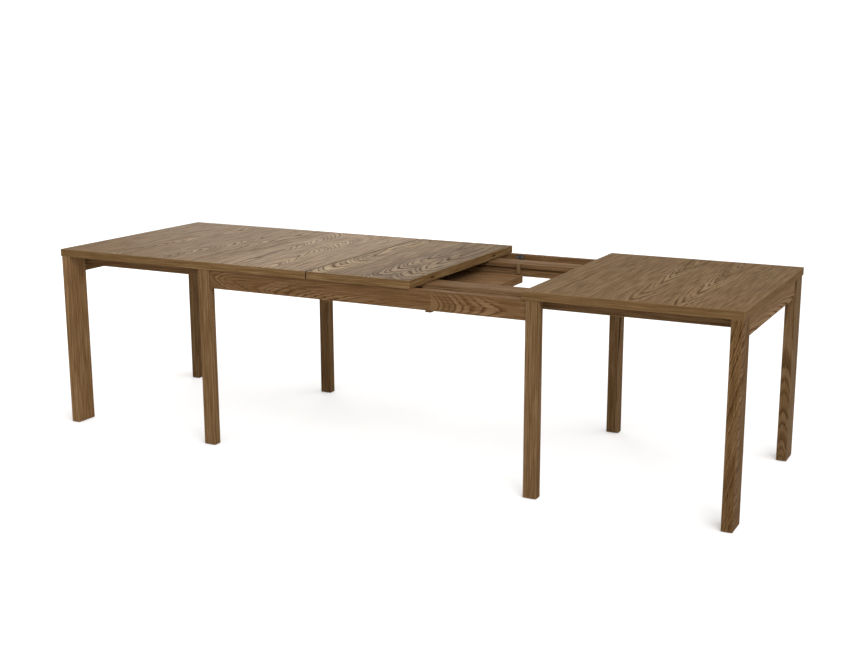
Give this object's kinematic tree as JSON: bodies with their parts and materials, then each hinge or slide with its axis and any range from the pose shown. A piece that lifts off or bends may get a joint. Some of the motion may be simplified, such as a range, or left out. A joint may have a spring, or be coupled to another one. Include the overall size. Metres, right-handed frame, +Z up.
{
  "type": "extending table",
  "caption": "Extending dining table in dark oak: end tops on corner legs draw out on telescopic wooden slides from a middle frame, with loose leaves between and a spare leaf stowed below.",
  "frame": {"origin": "on the floor, under the middle of the drawn-out table", "axes": "+X along the table towards the end beside the open bay, +Y away from the front with the spliced apron, +Z up"},
  "size_m": [2.86, 0.93, 0.75],
  "materials": {
    "smoked_oak": "dark oiled oak, satin",
    "slide_oak": "planed oak, waxed",
    "beech": "planed beech, plain",
    "steel": "zinc-plated steel",
    "glide": "matt dark plastic"
  },
  "bodies": {
    "mid_frame": {"inner_leg_front_left": "smoked_oak", "inner_leg_front_right": "smoked_oak", "inner_leg_back_left": "smoked_oak", "inner_leg_back_right": "smoked_oak", "inner_glides": "glide", "front_apron_left": "smoked_oak", "front_apron_right": "smoked_oak", "back_apron": "smoked_oak", "apron_splice_block": "slide_oak", "apron_screws": "steel", "cross_rail_left": "slide_oak", "cross_rail_right": "slide_oak", "fixed_runner_front": "slide_oak", "fixed_runner_back": "slide_oak", "runner_screws": "steel", "leaf_rests": "slide_oak", "leaf_catches": "steel", "catch_screws": "steel", "leaf_carrier_left": "slide_oak", "leaf_carrier_right": "slide_oak", "carrier_spacers": "slide_oak", "carrier_hangers": "slide_oak", "carrier_screws": "steel"},
    "right_end": {"right_top": "smoked_oak", "right_end_apron": "smoked_oak", "right_corner_leg_front": "smoked_oak", "right_corner_leg_back": "smoked_oak", "right_glides": "glide", "right_bearer_front": "slide_oak", "right_bearer_back": "slide_oak", "right_bearer_keys": "beech", "right_bearer_screws": "steel", "right_leg_dowels": "beech", "right_top_buttons": "beech", "right_button_screws": "steel"},
    "left_end": {"left_top": "smoked_oak", "left_top_tongues": "beech", "left_end_apron": "smoked_oak", "left_corner_leg_front": "smoked_oak", "left_corner_leg_back": "smoked_oak", "left_glides": "glide", "left_bearer_front": "slide_oak", "left_bearer_back": "slide_oak", "left_bearer_keys": "beech", "left_bearer_screws": "steel", "left_leg_dowels": "beech", "left_top_buttons": "beech", "left_button_screws": "steel"},
    "right_slides": {"right_slide_front": "slide_oak", "right_slide_back": "slide_oak", "right_slide_keys": "beech"},
    "left_slides": {"left_slide_front": "slide_oak", "left_slide_back": "slide_oak", "left_slide_keys": "beech"},
    "first_leaf": {"leaf_1": "smoked_oak", "leaf_1_tongues": "beech"},
    "second_leaf": {"leaf_2": "smoked_oak"},
    "spare_leaf": {"leaf_3": "smoked_oak"}
  },
  "joints": [
    {"name": "right_end_slide", "type": "slide", "parent": "mid_frame", "child": "right_end", "axis": [1, 0, 0], "range_m": [-0.219, 0]},
    {"name": "left_end_slide", "type": "slide", "parent": "mid_frame", "child": "left_end", "axis": [-1, 0, 0], "range_m": [-0.219, 0]},
    {"name": "right_slides_slide", "type": "slide", "parent": "mid_frame", "child": "right_slides", "axis": [1, 0, 0], "range_m": [-0.0657, 0]},
    {"name": "left_slides_slide", "type": "slide", "parent": "mid_frame", "child": "left_slides", "axis": [-1, 0, 0], "range_m": [-0.0657, 0]},
    {"name": "first_leaf_lift", "type": "slide", "parent": "left_end", "child": "first_leaf", "axis": [0, 0, 1], "range_m": [0, 0.3]},
    {"name": "second_leaf_lift", "type": "slide", "parent": "first_leaf", "child": "second_leaf", "axis": [0, 0, 1], "range_m": [0, 0.3]},
    {"name": "spare_leaf_slide", "type": "slide", "parent": "mid_frame", "child": "spare_leaf", "axis": [1, 0, 0], "range_m": [-0.038, 0.22]}
  ],
  "couplings": [
    {"joint": "right_slides_slide", "follows": "right_end_slide", "ratio": 0.3},
    {"joint": "left_slides_slide", "follows": "left_end_slide", "ratio": 0.3}
  ]
}
